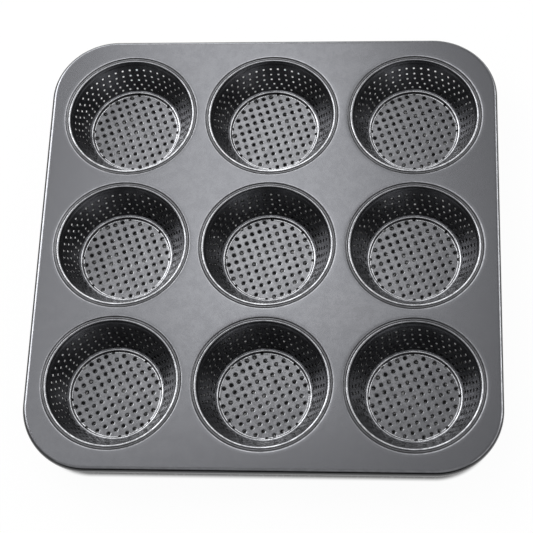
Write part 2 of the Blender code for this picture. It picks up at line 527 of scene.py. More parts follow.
def start_material(
    name: str, shown: Tone
) -> tuple[bpy.types.Material, Wiring, bpy.types.Node, bpy.types.NodeSocket]:
    """Start a material with the default shader.

    Args:
        name: Name of the material.
        shown: Its colour in a plain view.

    Returns:
        The material, its wiring, its shader and the place on its piece.
    """
    material = bpy.data.materials.new(name)
    material.use_nodes = True
    material.diffuse_color = (*shown, 1.0)
    wiring = Wiring(material.node_tree)
    place = wiring.add("ShaderNodeTexCoord").outputs["Object"]
    return material, wiring, material.node_tree.nodes["Principled BSDF"], place


def new_group(
    name: str, inputs: dict[str, tuple[str, object]], outputs: dict[str, str]
) -> tuple[bpy.types.NodeTree, Wiring, dict, dict]:
    """Start a shader node group with named sockets.

    Args:
        name: Name of the group.
        inputs: Socket type and starting value by input name.
        outputs: Socket type by output name.

    Returns:
        The group's tree, its wiring, and its input and output sockets by name.
    """
    tree = bpy.data.node_groups.new(name, "ShaderNodeTree")
    for label, (kind, value) in inputs.items():
        socket = tree.interface.new_socket(name=label, in_out="INPUT", socket_type=kind)
        if value is not None:
            socket.default_value = value
    for label, kind in outputs.items():
        tree.interface.new_socket(name=label, in_out="OUTPUT", socket_type=kind)
    wiring = Wiring(tree)
    entry = wiring.add("NodeGroupInput")
    leave = wiring.add("NodeGroupOutput")
    return tree, wiring, entry.outputs, leave.inputs


def grain_group() -> bpy.types.NodeTree:
    """Fine pebbled grain of a sprayed and baked coat, as a height from 0 to 1.

    Returns:
        The group's tree.
    """
    pebble_scale, pebble_height, speckle_band = 0.7, -0.5, (0.38, 0.62)
    tree, wiring, given, made = new_group(
        "coat_grain",
        {"Vector": ("NodeSocketVector", None), "Grain": ("NodeSocketFloat", 0.0004)},
        {"Height": "NodeSocketFloat", "Speckle": "NodeSocketFloat"},
    )
    scale = wiring.maths("DIVIDE", 1.0, given["Grain"])
    fine = wiring.noise(given["Vector"], scale, roughness=0.6)
    pebble = wiring.add("ShaderNodeTexVoronoi", feature="SMOOTH_F1")
    wiring.link(given["Vector"], pebble.inputs["Vector"])
    wiring.link(wiring.maths("MULTIPLY", scale, pebble_scale), pebble.inputs["Scale"])
    height = wiring.maths("MULTIPLY_ADD", pebble.outputs["Distance"], pebble_height, fine)
    wiring.link(height, made["Height"])
    wiring.link(wiring.span(fine, *speckle_band, 0.0, 1.0), made["Speckle"])
    return tree


def mottle_group() -> bpy.types.NodeTree:
    """Soft uneven patches of a coat, from 0 to 1.

    Returns:
        The group's tree.
    """
    patch_band = (0.32, 0.68)
    tree, wiring, given, made = new_group(
        "coat_mottle",
        {"Vector": ("NodeSocketVector", None), "Patch": ("NodeSocketFloat", 0.006)},
        {"Mask": "NodeSocketFloat"},
    )
    scale = wiring.maths("DIVIDE", 1.0, given["Patch"])
    cloud = wiring.noise(given["Vector"], scale, detail=4.0, roughness=0.62)
    wiring.link(wiring.span(cloud, *patch_band, 0.0, 1.0), made["Mask"])
    return tree


def edge_highlight_group() -> bpy.types.NodeTree:
    """Painted highlight on raised edges, broken up along the edge, from 0 to 1.

    Returns:
        The group's tree.
    """
    streak_scale, torn_band = 260.0, (0.35, 0.65)
    tree, wiring, given, made = new_group(
        "edge_highlight_paint",
        {
            "Vector": ("NodeSocketVector", None),
            "Edge": ("NodeSocketFloat", 0.0),
            "Break": ("NodeSocketFloat", 0.4),
        },
        {"Mask": "NodeSocketFloat"},
    )
    streak = wiring.noise(given["Vector"], streak_scale, detail=3.0)
    torn = wiring.span(streak, *torn_band, 0.0, 1.0)
    kept = wiring.maths("SUBTRACT", 1.0, wiring.maths("MULTIPLY", torn, given["Break"]))
    wiring.link(wiring.maths("MULTIPLY", given["Edge"], kept), made["Mask"])
    return tree


def streak_group() -> bpy.types.NodeTree:
    """Fine streaks that the press draws down a wall, from 0 to 1 and 0.5 off the wall.

    Returns:
        The group's tree.
    """
    line_band, unmarked = (0.36, 0.64), 0.5
    tree, wiring, given, made = new_group(
        "drawn_streaks",
        {
            "Vector": ("NodeSocketVector", None),
            "Share": ("NodeSocketFloat", 0.0),
            "Width": ("NodeSocketFloat", 0.0006),
        },
        {"Mask": "NodeSocketFloat"},
    )
    lines = wiring.noise(given["Vector"], wiring.maths("DIVIDE", 1.0, given["Width"]))
    even = wiring.maths("SUBTRACT", wiring.span(lines, *line_band, 0.0, 1.0), unmarked)
    wiring.link(wiring.maths("MULTIPLY_ADD", even, given["Share"], unmarked), made["Mask"])
    return tree


@dataclass(frozen=True)
class CoatingFinish:
    """Dark grey satin non-stick coat over pressed steel."""

    name: str
    tone: Tone = (0.139, 0.141, 0.150)
    deep_tone: Tone = (0.130, 0.132, 0.141)
    # Painted highlight: the light tone that marked edges take.
    highlight_tone: Tone = (0.56, 0.565, 0.585)
    # Painted shade: the dark tone for grooves, seats and lower bends, and the darker one for hole
    # bores.
    painted_shade_tone: Tone = (0.050, 0.050, 0.051)
    bore_shade_tone: Tone = (0.008, 0.008, 0.008)
    metallic: float = 1.0
    smooth_roughness: float = 0.235
    rough_roughness: float = 0.255
    # Roughness where the painted highlight lies.
    highlight_roughness: float = 0.20
    grain: float = 0.00040
    grain_depth: float = 0.000006
    patch: float = 0.0070
    blotch_share: float = 0.25
    # How much the painted highlight is broken up along the edge.
    highlight_break: float = 0.45
    blotch_weight: float = 0.4
    speckle_weight: float = 0.5
    streak_weight: float = 0.9
    streak_relief: float = 0.3
    cloud_range: Pair = (0.1, 1.7)

    def material(self, groups: "FinishGroups") -> bpy.types.Material:
        """Build the coat's material.

        Args:
            groups: The node groups that the pan's finishes share.

        Returns:
            The material.
        """
        material, wiring, shader, place = start_material(self.name, self.tone)
        grain = groups.place(wiring, groups.grain, place, Grain=self.grain)
        mottle = groups.place(wiring, groups.mottle, place, Patch=self.patch)["Mask"]
        small = self.patch * self.blotch_share
        blotch = groups.place(wiring, groups.mottle, place, Patch=small)["Mask"]
        # Painted highlight on the edges that each piece marks.
        edge = wiring.mark("edge_highlight_paint")
        painted_highlight = groups.place(wiring, groups.painted_highlight, place, Edge=edge, Break=self.highlight_break)["Mask"]
        drawn = wiring.mark("drawn_place", "Vector")
        share = wiring.mark("drawn_share")
        streak = groups.place(wiring, groups.streak, drawn, Share=share)["Mask"]

        cloud = wiring.maths("MULTIPLY_ADD", blotch, self.blotch_weight, mottle)
        cloud = wiring.maths("MULTIPLY_ADD", grain["Speckle"], self.speckle_weight, cloud)
        drift = wiring.maths("SUBTRACT", streak, 0.5)
        cloud = wiring.maths("MULTIPLY_ADD", drift, self.streak_weight, cloud)
        tone = wiring.mix(
            self.deep_tone, self.tone, wiring.span(cloud, *self.cloud_range, 0.0, 1.0)
        )
        # Painted highlight on the marked edges.
        tone = wiring.mix(tone, self.highlight_tone, painted_highlight)
        # Painted shade in grooves, seats and lower bends, then inside the hole bores.
        tone = wiring.mix(tone, self.painted_shade_tone, wiring.mark("painted_groove_shade"))
        tone = wiring.mix(tone, self.bore_shade_tone, wiring.mark("painted_bore_shade"))
        wiring.link(tone, shader.inputs["Base Color"])

        satin = wiring.span(
            cloud, *self.cloud_range, self.rough_roughness, self.smooth_roughness
        )
        polish = wiring.mix(satin, self.highlight_roughness, painted_highlight, "FLOAT")
        wiring.link(polish, shader.inputs["Roughness"])
        relief = wiring.maths("MULTIPLY_ADD", streak, self.streak_relief, grain["Height"])
        wiring.link(wiring.bump(relief, self.grain_depth), shader.inputs["Normal"])
        shader.inputs["Metallic"].default_value = self.metallic
        return material


@dataclass(frozen=True)
class WireFinish:
    """Plain drawn steel wire with faint draw lines and a dull skin."""

    name: str = "drawn_steel"
    bright: Tone = (0.50, 0.50, 0.51)
    dull: Tone = (0.36, 0.355, 0.35)
    low_roughness: float = 0.28
    high_roughness: float = 0.46
    grain: float = 0.0003
    grain_depth: float = 0.00001
    patch: float = 0.004

    def material(self, groups: "FinishGroups") -> bpy.types.Material:
        """Build the wire's material.

        Args:
            groups: The node groups that the pan's finishes share.

        Returns:
            The material.
        """
        material, wiring, shader, place = start_material(self.name, self.bright)
        grain = groups.place(wiring, groups.grain, place, Grain=self.grain)
        mottle = groups.place(wiring, groups.mottle, place, Patch=self.patch)
        tone = wiring.mix(self.bright, self.dull, mottle["Mask"])
        wiring.link(tone, shader.inputs["Base Color"])
        satin = wiring.span(
            grain["Speckle"], 0.0, 1.0, self.low_roughness, self.high_roughness
        )
        wiring.link(satin, shader.inputs["Roughness"])
        wiring.link(wiring.bump(grain["Height"], self.grain_depth), shader.inputs["Normal"])
        shader.inputs["Metallic"].default_value = 1.0
        return material


@dataclass
class FinishGroups:
    """Node groups that more than one finish uses, each built once."""

    grain: bpy.types.NodeTree = field(default_factory=grain_group)
    mottle: bpy.types.NodeTree = field(default_factory=mottle_group)
    # Painted highlight on raised edges.
    painted_highlight: bpy.types.NodeTree = field(default_factory=edge_highlight_group)
    streak: bpy.types.NodeTree = field(default_factory=streak_group)

    def place(
        self,
        wiring: Wiring,
        tree: bpy.types.NodeTree,
        vector: bpy.types.NodeSocket,
        **values: object,
    ) -> bpy.types.NodeOutputs:
        """Place a group in a material with its own values.

        Args:
            wiring: Wiring of the material.
            tree: The group.
            vector: Where the pattern reads its place from.
            **values: Sockets or numbers for the group's named inputs.

        Returns:
            The outputs of the group's node.
        """
        node = wiring.add("ShaderNodeGroup", node_tree=tree)
        for name, value in {"Vector": vector, **values}.items():
            wiring.feed(value, node.inputs[name])
        return node.outputs


# ---------------------------------------------------------------- top plate


@dataclass
class TopPlate:
    """One pressed sheet: flat top, nine stepped seats with collars, rolled outer edge."""

    plan: PanPlan
    name: str = "top_plate_sheet"
    node: str = "top_plate"
    bend_radius: float = 0.0024
    skirt_height: float = 0.0016
    curl_radius: float = 0.0020
    curl_turn: float = 200.0
    bend_steps: int = 8
    curl_steps: int = 14
    dip_radius: float = 0.04190
    dip_slope: float = 0.040
    dip_steps: int = 4
    seat: Section = millimetres(
        (39.7, -0.046), (39.55, -0.07), (39.42, -0.12), (39.3, -0.2), (39.19, -0.3),
        (39.1, -0.42), (39.04, -0.57), (39.01, -0.8), (39.0, -1.08), (38.95, -1.24),
        (38.83, -1.31), (38.6, -1.33), (37.75, -1.33), (37.48, -1.38), (37.29, -1.52),
        (37.21, -1.75), (37.2, -2.03), (37.2, -3.9),
    )
    # Painted highlight on each opening's brow and on the outer bend, strongest on the right;
    # painted shade below the brows, in the seats, under the sheet and on the lower bend.
    brow_highlight_band: Pair = (0.00003, 0.00009)
    brow_highlight: float = 0.28
    seat_shade: float = 0.3
    left_highlight: tuple[float, float, float] = (0.2, 0.00003, 0.00025)
    right_highlight: tuple[float, float, float] = (1.0, 0.00025, 0.00055)
    end_highlight: tuple[float, float, float] = (0.2, 0.00003, 0.00055)
    side_share: float = 0.5
    bend_shade: float = 0.85
    smooth_angle: float = 32.0

    def rolled_section(self) -> list[Vector]:
        """Points of the rolled edge, from the flat top out, down and round the curl.

        Returns:
            The section across the left end of the front side.
        """
        bend, curl = self.bend_radius, self.curl_radius
        steps = []
        for step in range(self.bend_steps + 1):
            angle = math.pi / 2 * step / self.bend_steps
            steps.append((bend * math.sin(angle), bend * (1 - math.cos(angle))))
        foot = bend + self.skirt_height
        for step in range(self.curl_steps + 1):
            angle = math.radians(self.curl_turn) * step / self.curl_steps
            steps.append((bend - curl * (1 - math.cos(angle)), foot + curl * math.sin(angle)))
        start_x, flat_end = -self.plan.runs()[0], self.plan.depth / 2 - bend
        return [
            Vector((start_x, -(flat_end + out), self.plan.top - down)) for out, down in steps
        ]

    def dipped_section(self) -> list[Pair]:
        """Points where the flat dips ever more steeply towards a seat, radius and height.

        Returns:
            The points, from the flat inwards.
        """
        reach = self.dip_radius - self.seat[0][0]
        points = []
        for step in range(self.dip_steps):
            inward = reach * step / self.dip_steps
            points.append((self.dip_radius - inward, -self.dip_slope * inward**2 / 2 / reach))
        return points

    def seat_ring(self) -> bpy.types.Object:
        """Model one stepped seat with its collar, round the Z axis.

        Returns:
            The seat as a sheet without thickness.
        """
        section = self.dipped_section() + list(self.seat)
        points = [Vector((radius, 0.0, self.plan.top + height)) for radius, height in section]
        ring = draw_section("seat_ring", points)
        spin_round(ring, self.plan.circle_steps)
        return ring

    def build(self) -> bpy.types.Object:
        """Model the sheet: roll its edge, press its seats and fill its flat between them.

        Returns:
            The plate as a solid sheet.
        """
        plate = draw_section(self.name, self.rolled_section())
        self.plan.sweep(plate)
        ring = self.seat_ring()
        seats = [
            copy_of(ring, f"seat_of_{node}", Matrix.Translation((axis.x, axis.y, 0.0)))
            for node, axis in self.plan.seats()
        ]
        bpy.data.objects.remove(ring, do_unlink=True)
        join_into(plate, seats)
        with editing(plate):
            select_where(plate, Pick.EDGES, self.bounds_the_flat)
            bpy.ops.mesh.fill(use_beauty=True)
        face_up(plate)
        thicken(plate, self.plan.sheet)
        smooth(plate, self.smooth_angle, self.parts_bend_from_flat)
        return plate

    def parts_bend_from_flat(self, edge: bmesh.types.BMEdge) -> bool:
        """Whether an edge lies where the flat top ends and the outer bend begins.

        Args:
            edge: An edge of the plate.

        Returns:
            Whether it lies there.
        """
        flat = self.plan.corner_radius - self.bend_radius
        return self.is_level(edge) and all(
            abs(self.plan.beyond_runs(vert.co).length - flat) < SAME_PLACE
            for vert in edge.verts
        )

    def is_level(self, edge: bmesh.types.BMEdge) -> bool:
        """Whether an edge lies level with the plate's flat top."""
        return all(abs(vert.co.z - self.plan.top) < SAME_LEVEL for vert in edge.verts)

    def bounds_the_flat(self, edge: bmesh.types.BMEdge) -> bool:
        """Whether an open edge lies level with the plate's flat top."""
        return edge.is_boundary and self.is_level(edge)

    def highlight_and_shade(self, spot: Vector) -> Pair:
        """Painted highlight on the outer bend and on each opening's brow, and painted shade below
        them.

        Args:
            spot: A point of the plate.

        Returns:
            The point's shares of painted highlight and of painted shade.
        """
        drop = self.plan.top - spot.z
        over = self.plan.beyond_runs(spot)
        if over.length > self.plan.corner_radius - self.bend_radius + SAME_PLACE:
            share, start, end = self.bend_highlight(over.x / over.length)
            return share if start < drop < end else 0.0, self.bend_shade if drop > end else 0.0
        if self.brow_highlight_band[0] < drop < self.brow_highlight_band[1]:
            return self.brow_highlight, 0.0
        return 0.0, self.seat_shade if drop > self.brow_highlight_band[1] else 0.0

    def bend_highlight(self, way: float) -> tuple[float, float, float]:
        """Painted highlight on the outer bend, by side: how much, and the drops between which it
        lies.

        Args:
            way: How far the bend faces right, from -1 to 1.

        Returns:
            The share of painted highlight, the drop where it starts and the drop where it ends.
        """
        if way < -self.side_share:
            return self.left_highlight
        return self.right_highlight if way > self.side_share else self.end_highlight

    def dress(self, plate: bpy.types.Object, coat: bpy.types.Material) -> None:
        """Mark the plate's painted highlight and shade, coat it and hand it to the frame."""
        mark_highlight_and_shade(plate, self.highlight_and_shade)
        hand_over(plate, coat, Slot.COATING, self.node)


# ---------------------------------------------------------------- rim wire


@dataclass
class RimWire:
    """Closed loop of round wire that the plate's edge is rolled over."""

    plan: PanPlan
    name: str = "rim_wire_loop"
    node: str = "rim_wire"
    wire_radius: float = 0.0011
    inset: float = 0.0020
    drop: float = 0.0040
    section_steps: int = 16
    smooth_angle: float = 60.0

    def build(self) -> bpy.types.Object:
        """Sweep a round section once round the pan's plan.

        Returns:
            The closed wire.
        """
        front = self.inset - self.plan.depth / 2
        clear_selection()
        bpy.ops.mesh.primitive_circle_add(
            vertices=self.section_steps,
            radius=self.wire_radius,
            location=(-self.plan.runs()[0], front, self.plan.top - self.drop),
            rotation=(math.pi / 2, 0.0, math.pi / 2),
        )
        wire = rename(bpy.context.active_object, self.name)
        bpy.ops.object.transform_apply(location=True, rotation=True, scale=True)
        self.plan.sweep(wire)
        with editing(wire):
            bpy.ops.mesh.normals_make_consistent(inside=False)
        smooth(wire, self.smooth_angle)
        return wire

    def dress(self, wire: bpy.types.Object, steel: bpy.types.Material) -> None:
        """Give the wire its steel and hand it to the frame."""
        hand_over(wire, steel, Slot.STEEL, self.node)


# ---------------------------------------------------------------- cups


@dataclass(frozen=True)
class PunchedHole:
    """One punched hole with a softly dished brow, as the punch that cuts it.

    The brow runs from above the sheet to below it: each point has its radius as a share of
    the hole's, and its height over the sheet's face.
    """

    radius: float
    brow: Section
    sides: int = 12
    steep: float = 0.75

    def punch(self) -> bpy.types.Object:
        """Model the punch upright, with the sheet's face at zero height.

        Returns:
            The punch, in object mode.
        """
        clear_selection()
        bpy.ops.mesh.primitive_circle_add(
            vertices=self.sides,
            radius=self.radius * self.brow[0][0],
            fill_type="NGON",
            location=(0.0, 0.0, 0.0),
        )
        tool = rename(bpy.context.active_object, "punch")
        with editing(tool):
            bpy.ops.transform.translate(value=(0.0, 0.0, self.brow[0][1]))
            for (wide, high), (narrow, low) in zip(self.brow, self.brow[1:]):
                bpy.ops.mesh.extrude_region_move(
                    TRANSFORM_OT_translate={"value": (0.0, 0.0, low - high)}
                )
                bpy.ops.transform.resize(value=(narrow / wide, narrow / wide, 1.0))
            bpy.ops.mesh.select_all(action="SELECT")
            bpy.ops.mesh.normals_make_consistent(inside=False)
        for side in CutSide:
            name = side.name.lower()
            tool.data.materials.append(
                bpy.data.materials.get(name) or bpy.data.materials.new(name)
            )
        for face in tool.data.polygons:
            side = CutSide.BORE if abs(face.normal.z) < self.steep else CutSide.BROW
            face.material_index = side.value
        return tool


@dataclass(frozen=True)
class PaintedLightBand:
    """A ring of the cup between two drops and two radii, with shares of painted highlight and of
    painted shade.
    """

    drops: Pair
    radii: Pair
    painted_highlight: float = 0.0
    painted_shade: float = 0.0

    def holds(self, drop: float, radius: float) -> bool:
        """Whether a point lies in the band."""
        return self.drops[0] < drop < self.drops[1] and self.radii[0] < radius < self.radii[1]


@dataclass
class PerforatedCup:
    """One pressed cup: beaded lip, plain band, sloping wall, foot ring and flat floor."""

    plan: PanPlan
    face: Section = millimetres(
        (38.9, -0.44), (38.84, -0.41), (38.5, -0.39), (38.16, -0.38), (38.04, -0.42),
        (37.96, -0.52), (37.89, -0.6), (37.82, -0.6), (37.76, -0.52), (37.7, -0.36),
        (37.63, -0.19), (37.53, -0.07), (37.39, 0.0), (37.2, 0.0), (37.0, 0.0), (36.82, -0.04),
        (36.68, -0.13), (36.58, -0.27), (36.52, -0.46), (36.46, -0.7), (36.36, -1.0),
        (36.11, -1.5), (35.62, -2.45), (35.48, -2.62), (35.38, -2.9), (31.5, -11.0),
        (27.45, -19.3), (27.35, -19.6), (27.23, -19.8), (27.11, -19.83), (26.99, -19.68),
        (26.85, -19.54), (26.66, -19.48), (26.47, -19.51), (26.29, -19.6), (26.13, -19.73),
        (26.01, -19.94), (25.92, -20.32), (25.82, -20.8), (25.72, -21.08), (25.59, -21.13),
        (25.46, -21.1), (25.34, -21.08), (25.2, -21.06), (25.07, -21.08), (24.94, -21.11),
        (24.74, -21.17),
    )
    back: Section = millimetres(
        (24.74, -21.77), (25.5, -21.77), (25.9, -21.76), (26.2, -21.6), (26.35, -21.2),
        (26.45, -20.6), (26.5, -20.15), (26.62, -20.08), (26.85, -20.2), (27.15, -20.38),
        (27.45, -20.4), (27.75, -20.18), (27.9, -19.85), (27.99, -19.56), (35.92, -3.16),
        (36.15, -2.72), (36.89, -1.27), (37.02, -1.2), (37.74, -1.18), (37.96, -1.16),
        (38.1, -1.0), (38.82, -0.98), (38.89, -0.92),
    )
    band_foot: Pair = (0.03538, -0.00290)
    wall_foot: Pair = (0.02745, -0.01930)
    wall_back: Section = ((0.03592, -0.00316), (0.02799, -0.01956))
    crease_reach: float = 0.00002
    floor_height: float = -0.02117
    streak_squeeze: float = 0.12
    floor_hole: PunchedHole = PunchedHole(
        0.00100,
        ((1.60, 0.00120), (1.60, 0.00002), (1.45, -0.00003), (1.10, -0.00016))
        + ((0.98, -0.00030), (0.94, -0.00100)),
    )
    floor_pitch: float = 0.00470
    floor_turn: float = 19.0
    floor_reach: float = 0.02480
    floor_rim_hole: PunchedHole = PunchedHole(0.00096, ((1.0, 0.0022), (1.0, -0.0012)))
    floor_rim_reach: float = 0.0262
    wall_hole: PunchedHole = PunchedHole(
        0.00100,
        ((1.15, 0.00120), (1.15, 0.00002), (1.00, -0.00006), (0.66, -0.00036))
        + ((0.59, -0.00100),),
    )
    wall_rows: tuple[tuple[float, int], ...] = (
        ((0.17, 50), (0.38, 47), (0.57, 44), (0.75, 42), (0.91, 40))
    )
    seated_turns: tuple[float, ...] = (11.0, 8.0, 5.0, 2.0, 1.0, 3.0, 2.0, -1.0, 3.0)
    smooth_angle: float = 32.0
    # Painted highlight on the lip's bead, stronger towards the front, and on the foot ring's two
    # rings; painted shade in the lip's groove, under the lip and in the gap between the foot
    # ring's rings.
    bead_drop: float = 0.00040
    bead_highlight: Pair = (0.72, -0.55)
    painted_light_bands: tuple[PaintedLightBand, ...] = (
        PaintedLightBand((0.00043, 0.1), (0.0376, 0.1), painted_shade=0.9),
        PaintedLightBand((0.00025, 0.1), (0.0376, 0.1), painted_shade=0.35),
        PaintedLightBand((0.0194, 0.01975), (0.0260, 0.1), painted_highlight=1.0),
        PaintedLightBand((0.0198, 0.0209), (0.0257, 0.0261), painted_shade=0.9),
        PaintedLightBand((0.0208, 0.02109), (0.0250, 0.0254), painted_highlight=1.0),
    )

    def shell(self) -> bpy.types.Object:
        """Model the plain cup round the Z axis, with its lip at the plate's top.

        Returns:
            The cup as a closed sheet without holes.
        """
        top = self.plan.top
        points = [Vector((radius, 0.0, top + height)) for radius, height in self.back + self.face]
        cup = draw_section("cup", points)
        spin_round(cup, self.plan.circle_steps)
        with editing(cup):
            for _, height in (self.back[0], self.face[-1]):
                select_where(
                    cup,
                    Pick.EDGES,
                    lambda edge: edge.is_boundary
                    and all(abs(vert.co.z - top - height) < SAME_PLACE for vert in edge.verts),
                )
                bpy.ops.mesh.edge_face_add()
            bpy.ops.mesh.select_all(action="SELECT")
            bpy.ops.mesh.normals_make_consistent(inside=False)
        return cup

    def floor_places(self, inner: float, outer: float) -> list[Matrix]:
        """Places of the floor's punches, on a square lattice turned in plan.

        Args:
            inner: Radius from which punches are placed.
            outer: Radius up to which they are placed.

        Returns:
            The places.
        """
        count = math.ceil(outer / self.floor_pitch)
        turn = Matrix.Rotation(math.radians(self.floor_turn), 4, "Z")
        height = self.plan.top + self.floor_height
        places = []
        for row in range(-count, count + 1):
            for column in range(-count, count + 1):
                spot = Vector((column * self.floor_pitch, row * self.floor_pitch, height))
                if inner <= spot.xy.length < outer:
                    places.append(turn @ Matrix.Translation(spot))
        return places

    def wall_places(self) -> list[Matrix]:
        """Places of the wall's punches, in rings, each square to the wall.

        Returns:
            The places.
        """
        top = Vector((self.band_foot[0], 0.0, self.plan.top + self.band_foot[1]))
        foot = Vector((self.wall_foot[0], 0.0, self.plan.top + self.wall_foot[1]))
        slope = foot - top
        lean = Matrix.Rotation(-math.atan2(-slope.z, -slope.x), 4, "Y")
        places = []
        for share, count in self.wall_rows:
            for step in range(count):
                turn = Matrix.Rotation(2 * math.pi * (step + share) / count, 4, "Z")
                places.append(turn @ Matrix.Translation(top + share * slope) @ lean)
        return places

    def punches(self) -> bpy.types.Object:
        """Copy one punch to every hole of the floor and the wall.

        Returns:
            All punches joined as one cutting tool.
        """
        tools = []
        for hole, places in (
            (self.floor_hole, self.floor_places(0.0, self.floor_reach)),
            (self.floor_rim_hole, self.floor_places(self.floor_reach, self.floor_rim_reach)),
            (self.wall_hole, self.wall_places()),
        ):
            punch = hole.punch()
            tools += [copy_of(punch, "punch_copy", place) for place in places]
            bpy.data.objects.remove(punch, do_unlink=True)
        join_into(tools[0], tools[1:])
        return tools[0]

    def pattern(self) -> bpy.types.Object:
        """Model the perforated cup once, round the Z axis.

        Returns:
            The cup that the nine cups are copied from.
        """
        cup = self.shell()
        tool = self.punches()
        for side in tool.data.materials:
            cup.data.materials.append(side)
        pick_only(cup)
        cut = cup.modifiers.new("holes", "BOOLEAN")
        cut.operation = "DIFFERENCE"
        cut.solver = "EXACT"
        cut.object = tool
        bpy.ops.object.modifier_apply(modifier=cut.name)
        bpy.data.objects.remove(tool, do_unlink=True)
        with editing(cup):
            bpy.ops.mesh.remove_doubles(threshold=SAME_POINT)
            bpy.ops.mesh.normals_make_consistent(inside=False)
        smooth(cup, self.smooth_angle, self.is_crease)
        mark_highlight_and_shade(cup, self.highlight_and_shade)
        self.mark_drawn_wall(cup)
        # Painted shade inside the holes' bores, kept per face.
        sides = [face.material_index for face in cup.data.polygons]
        bores = cup.data.attributes.new("painted_bore_shade", "FLOAT", "FACE")
        bores.data.foreach_set("value", [float(side == CutSide.BORE.value) for side in sides])
        cup.data.polygons.foreach_set("material_index", [0] * len(sides))
        return cup

    def is_crease(self, edge: bmesh.types.BMEdge) -> bool:
        """Whether an edge rims a hole or parts the wall or the floor from their bends.

        Args:
            edge: An edge of the cup.

        Returns:
            Whether it is kept sharp.
        """
        if len({face.material_index for face in edge.link_faces}) > 1:
            return True
        rings = (self.band_foot, self.wall_foot, self.face[-1], *self.wall_back)
        return any(
            all(
                math.hypot(vert.co.xy.length - radius, vert.co.z - self.plan.top - height)
                < self.crease_reach
                for vert in edge.verts
            )
            for radius, height in rings
        )

    def mark_drawn_wall(self, cup: bpy.types.Object) -> None:
        """Keep how far round and down the wall each point lies, for the press's streaks.

        Args:
            cup: The cup in object mode.
        """
        run = cup.data.attributes.new("drawn_place", "FLOAT_VECTOR", "POINT")
        share = cup.data.attributes.new("drawn_share", "FLOAT", "POINT")
        for vert, place, mark in zip(cup.data.vertices, run.data, share.data):
            round_way = vert.co.xy.normalized() * self.band_foot[0]
            drop = self.plan.top - vert.co.z
            place.vector = (*round_way, drop * self.streak_squeeze)
            mark.value = float(-self.band_foot[1] < drop < -self.wall_foot[1])

    def highlight_and_shade(self, spot: Vector) -> Pair:
        """Painted highlight and painted shade on the lip, the bead and the foot ring.

        Args:
            spot: A point of the cup.

        Returns:
            The point's shares of painted highlight and of painted shade.
        """
        drop, radius = self.plan.top - spot.z, spot.xy.length
        for band in self.painted_light_bands:
            if band.holds(drop, radius):
                return band.painted_highlight, band.painted_shade
        if drop < self.bead_drop:
            even, tilt = self.bead_highlight
            return min(1.0, even + tilt * spot.y / radius), 0.0
        return 0.0, 0.0

    def build_all(self) -> dict[str, bpy.types.Object]:
        """Copy the cup to its nine places, each seated at a turn of its own.

        Returns:
            The nine cups by the node that each replaces, each with a mesh of its own.
        """
        pattern = self.pattern()
        cups = {}
        for (node, axis), turn in zip(self.plan.seats(), self.seated_turns):
            seated = Matrix.Rotation(math.radians(turn), 4, "Z")
            place = Matrix.Translation((axis.x, axis.y, 0.0)) @ seated
            cups[node] = copy_of(pattern, f"perforated_{node}", place)
        bpy.data.objects.remove(pattern, do_unlink=True)
        return cups

    def dress(self, cups: dict[str, bpy.types.Object], coat: bpy.types.Material) -> None:
        """Coat the cups and hand them to the frame."""
        for node, cup in cups.items():
            hand_over(cup, coat, Slot.COATING, node)


# ---------------------------------------------------------------- studio


@dataclass(frozen=True)
class SoftLamp:
    """One soft oblong studio lamp, aimed at the pan."""

    name: str
    azimuth: float
    elevation: float
    distance: float
    size_x: float
    size_y: float
    power: float

    def build(self, target: Vector) -> bpy.types.Object:
        """Hang the lamp and aim it.

        Args:
            target: The point that the lamp looks at.

        Returns:
            The lamp's object.
        """
        lamp = bpy.data.lights.new(self.name, "AREA")
        lamp.shape = "RECTANGLE"
        lamp.size = self.size_x
        lamp.size_y = self.size_y
        lamp.energy = self.power
        turn, rise = math.radians(self.azimuth), math.radians(self.elevation)
        level = math.cos(rise)
        way = Vector((math.sin(turn) * level, math.cos(turn) * level, math.sin(rise)))
        item = bpy.data.objects.new(self.name, lamp)
        item.location = target + self.distance * way
        item.rotation_euler = way.to_track_quat("Z", "Y").to_euler()
        bpy.context.scene.collection.objects.link(item)
        return item


